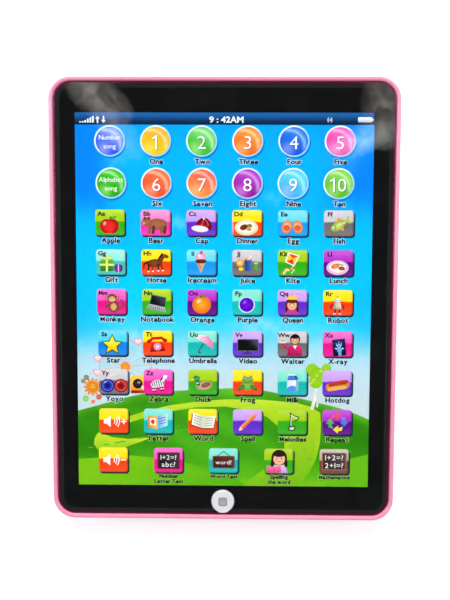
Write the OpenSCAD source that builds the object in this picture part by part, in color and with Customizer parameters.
// Kids toy tablet, lying on its back. X runs across it, +Y towards its top edge, +Z out of its face.
// The origin is under its middle, on the surface it rests on. All sizes are in millimetres.

/* [Body] */
// Width of the tablet, across its short side
body_w = 187; // [180:1:200]
// Length of the tablet, along its long side
body_l = 240; // [236:1:256]
// Thickness from the back face to the top of the rim
body_t = 17; // [17:0.25:19]
// Radius of the four outer corners
corner_r = 12; // [10:0.5:16]
// Radius that rounds the edge of the back
back_edge_r = 4; // [4:0.25:6]
// Thickness of the side wall, which is also the width of the rim
wall = 2.2; // [1.8:0.1:2.4]
// Thickness of the back wall
back_wall = 1.8; // [1.6:0.1:2]
// Width of the step inside the wall that carries the inner frame
ledge = 1.4; // [1:0.1:1.4]

/* [Front] */
// Depth of the clear front panel below the rim
panel_recess = 0.7; // [0.4:0.1:0.9]
// Thickness of the clear front panel
panel_t = 0.8; // [0.6:0.1:1]
// Gap between the front panel and the rim
panel_gap = 0.3; // [0.1:0.1:0.5]
// Thickness of the printed picture sheet
sheet_t = 0.2; // [0.2:0.05:0.3]
// Thickness of each of the three key films
film_t = 0.2; // [0.15:0.05:0.25]
// Thickness of the inner frame that backs the keys
deck_t = 1.6; // [1.4:0.1:1.8]

/* [Keys] */
// Width of the printed picture
picture_w = 159; // [150:1:162]
// Length of the printed picture
picture_l = 202.5; // [198:0.5:204]
// Distance between neighbouring key columns
key_pitch_x = 24.5; // [22:0.5:25]
// Distance between neighbouring key rows
key_pitch_y = 21.65; // [20:0.05:22]
// Distance between neighbouring keys in the last row
last_pitch_x = 30; // [28:0.5:34]
// Diameter of the opening in the spacer film at each key
key_hole_d = 10; // [8:0.5:12]

/* [Home button] */
// Distance of the home button below the middle of the tablet
home_y = 110; // [108:0.5:110]
// Diameter of the home button
home_d = 12.5; // [10:0.5:13]
// How far the home button stands above the front panel
home_proud = 0.6; // [0.3:0.1:0.6]
// How far the home button can be pressed
home_travel = 1; // [0.6:0.1:1.2]

/* [Batteries] */
// Diameter of an AAA cell
cell_d = 10.5; // [10.5:0.1:10.6]
// Length of an AAA cell over its contact
cell_l = 44.5; // [44.5:0.1:44.6]
// Distance between neighbouring cells
cell_pitch = 11.2; // [11:0.1:11.4]
// Width of the battery door
door_w = 44; // [42:1:50]
// Thickness of the battery door
door_t = 1.6; // [1.4:0.1:1.6]
// Gap around the battery door
door_gap = 0.25; // [0.2:0.05:0.4]

/* [Speaker] */
// Outer diameter of the loudspeaker
speaker_d = 29; // [27:1:30]
// Diameter of each hole in the speaker grille
grille_hole_d = 1.8; // [1.4:0.1:2]
// Number of rings of grille holes around the middle one
grille_rings = 3; // [1:1:3]

/* [Hidden] */
$fn = 48;
eps = 0.5;

// Heights of the layers, from the rim down
panel_top = body_t - panel_recess;
panel_z = panel_top - panel_t;
print_gap = 0.1;
sheet_z = panel_z - print_gap - sheet_t;
upper_z = sheet_z - film_t;
spacer_z = upper_z - film_t;
lower_z = spacer_z - film_t;
deck_z = lower_z - deck_t;

// Plan sizes of the parts inside the rim
panel_w = body_w - 2 * wall - 2 * panel_gap;
panel_l = body_l - 2 * wall - 2 * panel_gap;
panel_r = corner_r - wall - panel_gap;
film_w = picture_w + 4;
film_l = picture_l + 3;
film_r = 3;

// Keys: rows of six, and one last row of five
key_rows = 8;
key_cols = 6;
last_cols = 5;
key_top_y = 86.2;
last_row_y = key_top_y - key_rows * key_pitch_y;

// Casing screws: posts in the casing meet bosses under the inner frame
post_x = 82;
post_y = 104;
post_top = 6;
post_r = 3.9;
well_r = 2.8;
well_top = 3.4;
boss_r = 3.2;
screw_r = 1.3;
screw_head_r = 2.6;
screw_head_h = 1.8;
screw_tip = 11;
POSTS = [for (x = [-post_x, post_x]) for (y = [-post_y, 0, post_y]) [x, y]];

// Home button
home_clear = 0.3;
home_r = home_d / 2;
home_top = panel_top + home_proud;
wing_reach = home_r + 3;
wing_w = 6;
wing_t = 1;
wing_z = deck_z - wing_t - 0.1;
stem_r = 2;

// Circuit board, on four posts
board_w = 66;
board_l = 32;
board_t = 1.6;
board_y = -99;
board_z = 4.4;
board_top = board_z + board_t;
board_screw_x = 30;
board_screw_y = board_y + 12.5;
board_screw_r = 1;
board_post_r = 2.4;

// Rubber dome between the board and the button's stem
dome_h = 3;
dome_r = 5;
dome_wall = 0.7;
pill_r = 1.5;
pill_t = 0.6;

// Battery bay and door. The door is hooked at its lower end and screwed at its upper end.
bay_y = 8;
bay_w = 2 * cell_pitch + cell_d + 1.2;
bay_l = cell_l + 5.5;
bay_wall = 1.4;
pad_t = 1.6;
door_z = 0.2;
door_top = door_z + door_t;
door_low = bay_y - bay_l / 2 - 5;
door_high = bay_y + bay_l / 2 + 11;
door_r = 3;
cell_z = door_top + 0.3 + cell_d / 2;
hook_x = 14;
hook_w = 6;
hook_t = 1.1;
hook_reach = 2;
hook_root = 2;
door_screw_y = door_high - 5.5;
door_screw_clear = 0.4;
door_boss_r = 3.8;
door_boss_top = 9.6;
door_screw_tip = 8.4;
screw_withdraw = 3;
washer_r = 2.3;
washer_t = 0.5;
washer_z = door_top + screw_withdraw;
washer_room_r = washer_r + 0.4;
washer_room_top = washer_z + washer_t + 0.3;

// Battery contacts
plate_t = 0.4;
plate_w = 8;
plate_low = cell_z - 4;
plate_high = cell_z + 4;
plus_side = bay_y + bay_l / 2;
minus_side = bay_y - bay_l / 2;
tab_w = 2.4;
tab_z = 9;
tab_l = 4.5;
spring_wire_r = 0.25;
spring_turns = 3.5;
spring_steps = 10;

// Loudspeaker
speaker_x = -52;
speaker_y = -62;
gasket_t = 0.6;
speaker_z = back_wall + gasket_t;
speaker_h = 3.8;
magnet_r = 8.5;
magnet_t = 3;
speaker_tab = [5, 5, 3.2];
speaker_tab_x = speaker_x + speaker_d / 2 - 4.5;
speaker_tab_y = speaker_y - 9;
speaker_tab_z = speaker_z + 0.8;
grille_ring_step = 3.4;

// Film tail, which drops through the inner frame to its connector on the board
tail_x = 24;
tail_w = 14;
tail_drop_y = -film_l / 2 - 1.6;
tail_end_y = board_y + 3;
tail_z = board_top + 1.3;
tail_bend = 1;
connector_l = 5;
connector_h = 2.6;

// Insulated wires: points of each route, chosen by hand
wire_r = 0.6;
wire_sides = 8;
wire_step = 4;
RED_ROUTE = [[-11, 35, 10.2], [-14, 38, 10.2], [-22, 38, 6], [-27.5, 32, 3], [-28, 10, 3],
    [-27, -20, 3], [-20, -50, 3], [-16, -70, 3], [-14, -79, 8], [-14, -86, 10],
    [-14, -88, 8], [-14, -88, 6.2]];
BLACK_ROUTE = [[11, -20, 10.2], [12, -24, 9.5], [14, -30, 4], [14, -42, 3], [8, -60, 3],
    [-2, -74, 3.5], [-8, -80, 8], [-10, -86, 10], [-10, -88, 8], [-10, -88, 6.2]];
SPEAKER_ROUTE = [[-38, -70, 7.3], [-36, -74, 6], [-32, -78, 5], [-27, -83, 8], [-25, -87, 9.5],
    [-25, -89, 8], [-25, -89, 6.2]];
SPEAKER_WIRE_GAP = 3;

// ---- Shared shapes ----

// Points of an arc from angle a to angle b
function arc(cx, cy, r, a, b, steps = 6) =
    [for (i = [0 : steps]) let (t = a + (b - a) * i / steps) [cx + r * cos(t), cy + r * sin(t)]];

function unit(v) = v / norm(v);

// Smooth curve through hand-chosen points, with a point about every `step`
function between(a, b, c, d, t) =
    0.5 * (2 * b + (c - a) * t + (2 * a - 5 * b + 4 * c - d) * t * t
        + (3 * b - a - 3 * c + d) * t * t * t);

function smooth(route, step) = let (last = len(route) - 1) concat(
    [for (i = [0 : last - 1])
        let (n = max(1, round(norm(route[i + 1] - route[i]) / step)))
        for (k = [0 : n - 1])
            between(route[max(i - 1, 0)], route[i], route[i + 1], route[min(i + 2, last)], k / n)],
    [route[last]]);

function tangent(path, i) = unit(path[min(i + 1, len(path) - 1)] - path[max(i - 1, 0)]);

// One side direction for each point of a path, carried along it without twist
function carry(path, side, i = 0) = i == len(path) ? [] :
    let (t = tangent(path, i), s = unit(side - (side * t) * t)) concat([s], carry(path, s, i + 1));

// Round tube of radius r along a path
module sweep(path, r, sides) {
    side = carry(path, [0.31, 0.95, 0.05]);
    last = len(path) - 1;
    points = [for (i = [0 : last]) for (k = [0 : sides - 1])
        let (s = side[i], u = cross(tangent(path, i), s), a = 360 * k / sides)
        path[i] + r * (cos(a) * s + sin(a) * u)];
    walls = [for (i = [0 : last - 1]) for (k = [0 : sides - 1])
        let (a = i * sides + k, b = i * sides + (k + 1) % sides) each
        [[a, a + sides, b], [b, a + sides, b + sides]]];
    start = [for (k = [0 : sides - 1]) k];
    end = [for (k = [sides - 1 : -1 : 0]) last * sides + k];
    polyhedron(points, concat(walls, [start, end]));
}

// Flat plate with round corners
module plate(w, l, r, t) {
    linear_extrude(t) union() {
        square([w - 2 * r, l], center = true);
        square([w, l - 2 * r], center = true);
        for (x = [-1, 1]) for (y = [-1, 1]) translate([x * (w / 2 - r), y * (l / 2 - r)]) circle(r);
    }
}

// Edge of a rounded rectangle: its child is the wall's profile, with x = r on the outer face
module edge_sweep(w, l, r) {
    for (q = [0 : 3]) {
        sx = (q == 0 || q == 3) ? 1 : -1;
        sy = (q < 2) ? 1 : -1;
        translate([sx * (w / 2 - r), sy * (l / 2 - r), 0]) rotate([0, 0, 90 * q])
            rotate_extrude(angle = 90) children();
    }
    for (q = [0 : 3]) {
        side = (q % 2 == 0) ? w : l;
        run = (q % 2 == 0) ? l : w;
        rotate([0, 0, 90 * q]) translate([side / 2 - r, 0, 0]) rotate([90, 0, 0])
            linear_extrude(run - 2 * r, center = true) children();
    }
}

module at_posts() {
    for (p = POSTS) translate([p[0], p[1], 0]) children();
}

module at_keys() {
    for (row = [0 : key_rows - 1]) for (col = [0 : key_cols - 1])
        translate([(col - (key_cols - 1) / 2) * key_pitch_x, key_top_y - row * key_pitch_y, 0])
            children();
    for (col = [0 : last_cols - 1])
        translate([(col - (last_cols - 1) / 2) * last_pitch_x, last_row_y, 0]) children();
}

module at_grille_holes() {
    children();
    for (ring = [1 : grille_rings]) for (i = [0 : 6 * ring - 1])
        rotate([0, 0, 60 * i / ring]) translate([ring * grille_ring_step, 0, 0]) children();
}

// ---- Casing ----

module casing_profile() {
    inner = corner_r - wall;
    rim_r = wall / 2;
    polygon(concat(
        [[corner_r - back_edge_r - eps, 0]],
        arc(corner_r - back_edge_r, back_edge_r, back_edge_r, -90, 0, 8),
        arc(corner_r - rim_r, body_t - rim_r, rim_r, 0, 180, 10),
        [[inner, deck_z], [inner - ledge, deck_z], [inner - ledge, back_wall],
            [corner_r - back_edge_r - eps, back_wall]]));
}

module casing_shell() {
    edge_sweep(body_w, body_l, corner_r) casing_profile();
    plate(body_w - 2 * back_edge_r, body_l - 2 * back_edge_r, corner_r - back_edge_r, back_wall);
}

module bay_box(grow, z, h) {
    translate([-bay_w / 2 - grow, minus_side - grow, z])
        cube([bay_w + 2 * grow, bay_l + 2 * grow, h]);
}

module door_slab(grow, z, h) {
    translate([0, (door_low + door_high) / 2, z])
        plate(door_w + 2 * grow, door_high - door_low + 2 * grow, door_r + grow, h);
}

module rear_casing() {
    bay_top = deck_z - 0.2;
    color("hotpink") difference() {
        union() {
            casing_shell();
            at_posts() cylinder(h = post_top, r = post_r);
            difference() {
                door_slab(1.2, 0, back_wall + pad_t);
                translate([-hook_x - hook_w, door_low - 2, back_wall])
                    cube([2 * (hook_x + hook_w), 5, 5]);
            }
            bay_box(bay_wall, back_wall - eps, bay_top - back_wall + eps);
            translate([0, door_screw_y, back_wall - eps])
                cylinder(h = door_boss_top - back_wall + eps, r = door_boss_r);
            translate([speaker_x, speaker_y, back_wall - eps])
                cylinder(h = speaker_h - 1, r = speaker_d / 2 + 1.5);
            for (x = [-board_screw_x, board_screw_x]) for (y = [board_screw_y, board_y - 10])
                translate([x, y, back_wall - eps])
                    cylinder(h = board_z - back_wall + eps, r = board_post_r);
        }
        at_posts() translate([0, 0, -eps]) cylinder(h = well_top + eps, r = well_r);
        translate([0, -home_y, board_top]) cylinder(h = deck_z - board_top + eps, r = home_r + 0.8);
        at_posts() cylinder(h = post_top + eps, r = screw_r + 0.15);
        door_slab(door_gap, -eps, back_wall + eps);
        bay_box(0, -eps, deck_z + eps);
        translate([0, door_screw_y, 0]) cylinder(h = door_boss_top - 0.8, r = screw_r + door_screw_clear);
        translate([0, door_screw_y, 0]) cylinder(h = washer_room_top, r = washer_room_r);
        translate([speaker_x, speaker_y, back_wall]) cylinder(h = body_t, r = speaker_d / 2 + 0.3);
        translate([speaker_tab_x, speaker_tab_y - 0.3, speaker_tab_z - 0.2])
            cube(speaker_tab + [2, 0.6, 2]);
        translate([speaker_x, speaker_y, -eps]) at_grille_holes()
            cylinder(h = back_wall + 2 * eps, d = grille_hole_d, $fn = 24);
        for (x = [-board_screw_x, board_screw_x])
            translate([x, board_screw_y, back_wall]) cylinder(h = board_z, r = board_screw_r);
        translate([-cell_pitch - tab_w / 2 - 0.2, plus_side - eps, tab_z - 0.3])
            cube([tab_w + 0.4, bay_wall + 2 * eps, body_t]);
        translate([cell_pitch - tab_w / 2 - 0.2, minus_side - bay_wall - eps, tab_z - 0.3])
            cube([tab_w + 0.4, bay_wall + 2 * eps, body_t]);
    }
}

module front_frame() {
    rib_t = 1.2;
    rib_z = deck_z - 2.6;
    slot_l = 3;
    color("dimgray") difference() {
        union() {
            translate([0, 0, deck_z]) plate(panel_w, panel_l, panel_r, deck_t);
            at_posts() translate([0, 0, post_top]) cylinder(h = deck_z - post_top + eps, r = boss_r);
            for (x = [-1, 1]) translate([x * 45 - rib_t / 2, -78, rib_z])
                cube([rib_t, 180, deck_z - rib_z + eps]);
            for (y = [-46, 52, 86]) translate([-78, y, rib_z])
                cube([156, rib_t, deck_z - rib_z + eps]);
            for (x = [-1, 1]) for (y = [-1, 1]) translate([
                x * (home_r + 1.8) - 1.2, -home_y + y * (wing_w / 2 + home_clear + rib_t / 2) - rib_t / 2,
                wing_z - home_travel]) cube([2.4, rib_t, deck_z - wing_z + home_travel + eps]);
        }
        at_posts() translate([0, 0, post_top - eps])
            cylinder(h = screw_tip + 0.5 - post_top + eps, r = screw_r);
        translate([0, -home_y, deck_z - eps]) cylinder(h = deck_t + 2 * eps, r = home_r + home_clear);
        translate([tail_x - tail_w / 2 - 1, tail_drop_y - slot_l / 2, deck_z - eps])
            cube([tail_w + 2, slot_l + 1, deck_t + 2 * eps]);
    }
}

// ---- Front layers ----

module home_hole(z, h, clear) {
    translate([0, -home_y, z - eps]) cylinder(h = h + 2 * eps, r = home_r + clear);
}

module front_panel() {
    edge_r = panel_t * 0.7;
    inset = 3;
    color("lightcyan") difference() {
        union() {
            edge_sweep(panel_w, panel_l, panel_r) polygon(concat(
                [[panel_r - inset, panel_z], [panel_r, panel_z]],
                arc(panel_r - edge_r, panel_top - edge_r, edge_r, 0, 90, 5),
                [[panel_r - inset, panel_top]]));
            translate([0, 0, panel_z])
                plate(panel_w - 2 * inset + 0.2, panel_l - 2 * inset + 0.2, panel_r - inset + 0.1, panel_t);
        }
        home_hole(panel_z, panel_t, home_clear);
    }
}

module picture_sheet() {
    color("black") difference() {
        translate([0, 0, sheet_z]) plate(panel_w, panel_l, panel_r, sheet_t);
        home_hole(sheet_z, sheet_t, home_clear + 0.2);
    }
}

module border_adhesive() {
    h = 3 * film_t;
    color("whitesmoke") difference() {
        translate([0, 0, lower_z]) plate(panel_w, panel_l, panel_r, h);
        translate([0, 0, lower_z - eps]) plate(film_w + 0.2, film_l + 0.2, film_r, h + 2 * eps);
        home_hole(lower_z, h, 1);
        translate([tail_x - tail_w / 2 - 1, tail_drop_y - 1.5, lower_z - eps])
            cube([tail_w + 2, 4, h + 2 * eps]);
    }
}

module upper_circuit_film() {
    color("beige") translate([0, 0, upper_z]) plate(film_w, film_l, film_r, film_t);
}

module spacer_film() {
    color("gainsboro") difference() {
        translate([0, 0, spacer_z]) plate(film_w, film_l, film_r, film_t);
        at_keys() translate([0, 0, spacer_z - eps])
            cylinder(h = film_t + 2 * eps, d = key_hole_d, $fn = 24);
    }
}

// The tail bends down behind the film's lower edge, and then back into its connector
module tail_strip() {
    outer = tail_bend + film_t;
    top = lower_z + film_t;
    turn_y = tail_drop_y + tail_bend;
    low_y = tail_drop_y + tail_bend;
    low_z = tail_z + tail_bend;
    outline = concat(
        [[-film_l / 2 + 2, top]],
        arc(turn_y, top - outer, outer, 90, 180),
        arc(low_y, low_z, outer, 180, 270),
        [[tail_end_y, low_z - outer], [tail_end_y, low_z - tail_bend]],
        arc(low_y, low_z, tail_bend, 270, 180),
        arc(turn_y, top - outer, tail_bend, 180, 90),
        [[-film_l / 2 + 2, lower_z]]);
    translate([tail_x - tail_w / 2, 0, 0]) rotate([90, 0, 90]) linear_extrude(tail_w) polygon(outline);
}

module lower_circuit_film() {
    color("cornsilk") union() {
        translate([0, 0, lower_z]) plate(film_w, film_l, film_r, film_t);
        tail_strip();
    }
}

// ---- Home button ----

module home_button() {
    edge_r = 0.7;
    color("white") union() {
        translate([0, -home_y, 0]) rotate_extrude() polygon(concat(
            [[0, board_top + dome_h], [stem_r, board_top + dome_h], [stem_r, wing_z], [home_r, wing_z]],
            arc(home_r - edge_r, home_top - edge_r, edge_r, 0, 90),
            [[0, home_top]]));
        translate([-wing_reach, -home_y - wing_w / 2, wing_z]) cube([2 * wing_reach, wing_w, wing_t]);
    }
}

module rubber_dome() {
    top = board_top + dome_h;
    hollow = board_top + dome_h - dome_wall;
    color("lightgray") translate([0, -home_y, 0]) rotate_extrude() polygon([
        [0, hollow], [stem_r, hollow], [dome_r - 1.6, board_top], [dome_r, board_top],
        [dome_r, board_top + dome_wall], [dome_r - 0.8, board_top + dome_wall],
        [stem_r + 0.6, top], [0, top]]);
}

module contact_pill() {
    color("black") translate([0, -home_y, board_top + dome_h - dome_wall - pill_t])
        cylinder(h = pill_t, r = pill_r);
}

// ---- Circuit board ----

module main_board() {
    color("seagreen") difference() {
        translate([-board_w / 2, board_y - board_l / 2, board_z]) cube([board_w, board_l, board_t]);
        for (x = [-board_screw_x, board_screw_x])
            translate([x, board_screw_y, board_z - eps])
                cylinder(h = board_t + 2 * eps, r = board_screw_r + 0.2);
    }
}

module chip_blob() {
    cap_r = 10;
    cap_h = 1.7;
    color("black") translate([-16, board_y + 3, board_top]) intersection() {
        translate([0, 0, cap_h - cap_r]) sphere(cap_r, $fn = 64);
        cylinder(h = cap_h + 1, r = cap_r);
    }
}

module board_capacitor() {
    color("navy") translate([5, board_y + 5, board_top]) cylinder(h = 4.4, r = 2.5);
}

module board_resistors() {
    body_r = 0.8;
    color("tan") for (i = [0 : 2]) translate([9.5, board_y - 6 + 4 * i, board_top + body_r])
        rotate([0, 90, 0]) union() {
            translate([0, 0, 0.9]) cylinder(h = 3.4, r = body_r);
            cylinder(h = 5.2, r = 0.25);
        }
}

module tail_connector() {
    slot_h = film_t + 0.1;
    color("ivory") difference() {
        translate([tail_x - tail_w / 2 - 1.5, tail_end_y - 2, board_top])
            cube([tail_w + 3, connector_l, connector_h]);
        translate([tail_x - tail_w / 2 - 0.3, tail_end_y - 3, tail_z - film_t - 0.05])
            cube([tail_w + 0.6, 3.3, slot_h]);
    }
}

module pan_screw(head_z, head_h, head_r, shank_r, length) {
    cross_w = head_r * 0.35;
    cross_l = head_r * 1.2;
    difference() {
        union() {
            translate([0, 0, head_z]) cylinder(h = head_h, r = head_r);
            translate([0, 0, head_z + head_h]) cylinder(h = length, r = shank_r);
        }
        for (a = [0, 90]) rotate([0, 0, a])
            translate([-cross_w / 2, -cross_l / 2, head_z - eps])
                cube([cross_w, cross_l, head_h * 0.55 + eps]);
    }
}

module board_screws() {
    head_h = 1.2;
    color("silver") for (x = [-board_screw_x, board_screw_x])
        translate([x, board_screw_y, board_top + head_h]) mirror([0, 0, 1])
            pan_screw(0, head_h, 2, board_screw_r, board_top - back_wall - 0.4);
}

// ---- Loudspeaker ----

module speaker_frame() {
    r = speaker_d / 2;
    top = speaker_z + speaker_h;
    color("slategray") union() {
        translate([speaker_x, speaker_y, 0]) rotate_extrude() polygon([
            [r - 2.2, speaker_z], [r, speaker_z], [r, speaker_z + 0.8], [r - 1, speaker_z + 0.8],
            [magnet_r + 1, top], [4, top], [4, top - 0.7], [magnet_r + 0.6, top - 0.7],
            [r - 2.2, speaker_z + 0.7]]);
        translate([speaker_tab_x, speaker_tab_y, speaker_tab_z]) cube(speaker_tab);
    }
}

module speaker_magnet() {
    color("dimgray") translate([speaker_x, speaker_y, speaker_z + speaker_h])
        cylinder(h = magnet_t, r = magnet_r);
}

module speaker_cone() {
    r = speaker_d / 2 - 2.3;
    color("khaki") translate([speaker_x, speaker_y, 0]) rotate_extrude() polygon([
        [0, speaker_z + 1.6], [4, speaker_z + 1.1], [5, speaker_z + 1.9], [r - 2, speaker_z + 0.5],
        [r - 1, speaker_z + 0.6], [r, speaker_z + 0.1], [r, speaker_z + 0.3],
        [r - 1, speaker_z + 0.8], [r - 2, speaker_z + 0.7], [5, speaker_z + 2.1],
        [4, speaker_z + 1.3], [0, speaker_z + 1.8]]);
}

module speaker_gasket() {
    color("black") translate([speaker_x, speaker_y, back_wall]) difference() {
        cylinder(h = gasket_t, r = speaker_d / 2);
        translate([0, 0, -eps]) cylinder(h = gasket_t + 2 * eps, r = speaker_d / 2 - 2.2);
    }
}

// ---- Batteries ----

// One cell with its positive end towards `way` along Y; the flat end leaves room for a spring
module cell(x, way) {
    nub_l = 1;
    shift = way * (bay_l / 2 - plate_t - cell_l / 2);
    translate([x, bay_y + shift, cell_z]) rotate([-90 * way, 0, 0]) union() {
        translate([0, 0, -cell_l / 2]) cylinder(h = cell_l - nub_l, d = cell_d);
        translate([0, 0, -cell_l / 2]) cylinder(h = cell_l, r = 1.9);
    }
}

module left_cell() { color("gold") cell(-cell_pitch, 1); }

module middle_cell() { color("gold") cell(0, -1); }

module right_cell() { color("gold") cell(cell_pitch, 1); }

module contact_plate(x, w, y) {
    translate([x - w / 2, y, plate_low]) cube([w, plate_t, plate_high - plate_low]);
}

module solder_tab(x, y) {
    translate([x - tab_w / 2, y, tab_z]) cube([tab_w, tab_l, plate_t]);
}

// The two single plates carry the leads, and the two wide ones join neighbouring cells
module contact_plates() {
    wide = plate_w + cell_pitch;
    color("silver") union() {
        contact_plate(-cell_pitch, plate_w, plus_side - plate_t);
        solder_tab(-cell_pitch, plus_side - plate_t);
        contact_plate(cell_pitch / 2, wide, plus_side - plate_t);
        contact_plate(-cell_pitch / 2, wide, minus_side);
        contact_plate(cell_pitch, plate_w, minus_side);
        solder_tab(cell_pitch, minus_side + plate_t - tab_l);
    }
}

// Conical spring from a plate to the flat end of a cell
function spring_path(x, y, way, length) = [for (i = [0 : spring_turns * spring_steps])
    let (t = i / (spring_turns * spring_steps), r = 3.4 - 1.6 * t, a = 360 * spring_turns * t)
    [x + r * cos(a), y + way * (spring_wire_r + (length - 2 * spring_wire_r) * t), cell_z + r * sin(a)]];

module contact_springs() {
    room = bay_l - cell_l - 2 * plate_t;
    color("silver") union() {
        sweep(spring_path(-cell_pitch, minus_side + plate_t, 1, room), spring_wire_r, 6);
        sweep(spring_path(0, plus_side - plate_t, -1, room), spring_wire_r, 6);
        sweep(spring_path(cell_pitch, minus_side + plate_t, 1, room), spring_wire_r, 6);
    }
}

module wire(route) {
    sweep(smooth(route, wire_step), wire_r, wire_sides);
}

module battery_lead_red() { color("red") wire(RED_ROUTE); }

module battery_lead_black() { color("black") wire(BLACK_ROUTE); }

module speaker_leads() {
    color("orange") for (i = [0, 1]) translate([-SPEAKER_WIRE_GAP * i, 0, 0]) wire(SPEAKER_ROUTE);
}

// ---- Battery door ----

module battery_door() {
    color("hotpink") difference() {
        union() {
            door_slab(0, door_z, door_t);
            for (x = [-hook_x, hook_x]) translate([x - hook_w / 2, door_low - hook_reach, back_wall + 0.1])
                cube([hook_w, hook_reach + hook_root, hook_t]);
            for (x = [-hook_x, hook_x]) translate([x - hook_w / 2, door_low, door_z + 0.5])
                cube([hook_w, hook_root, door_t]);
        }
        translate([0, door_screw_y, -eps]) cylinder(h = body_t, r = screw_r + 0.15);
        translate([0, door_screw_y, -eps]) cylinder(h = eps + door_z + 0.9, r = screw_head_r + 0.3);
        for (i = [0 : 4]) translate([-6, door_low + 6 + 2 * i, -eps]) cube([12, 0.8, eps + door_z + 0.4]);
    }
}

module door_screw() {
    head_h = 0.9;
    color("silver") translate([0, door_screw_y, door_z])
        pan_screw(0, head_h, screw_head_r, screw_r, door_screw_tip - door_z - head_h);
}

module screw_washer() {
    color("whitesmoke") translate([0, door_screw_y, washer_z]) difference() {
        cylinder(h = washer_t, r = washer_r);
        translate([0, 0, -eps]) cylinder(h = washer_t + 2 * eps, r = screw_r + 0.05);
    }
}

module casing_screws() {
    color("silver") at_posts()
        pan_screw(well_top - screw_head_h, screw_head_h, screw_head_r, screw_r, screw_tip - well_top);
}

rear_casing();
front_frame();
border_adhesive();
lower_circuit_film();
spacer_film();
upper_circuit_film();
picture_sheet();
front_panel();
home_button();
rubber_dome();
contact_pill();
main_board();
chip_blob();
board_capacitor();
board_resistors();
tail_connector();
board_screws();
speaker_frame();
speaker_magnet();
speaker_cone();
speaker_gasket();
left_cell();
middle_cell();
right_cell();
contact_springs();
contact_plates();
battery_lead_red();
battery_lead_black();
speaker_leads();
battery_door();
door_screw();
screw_washer();
casing_screws();
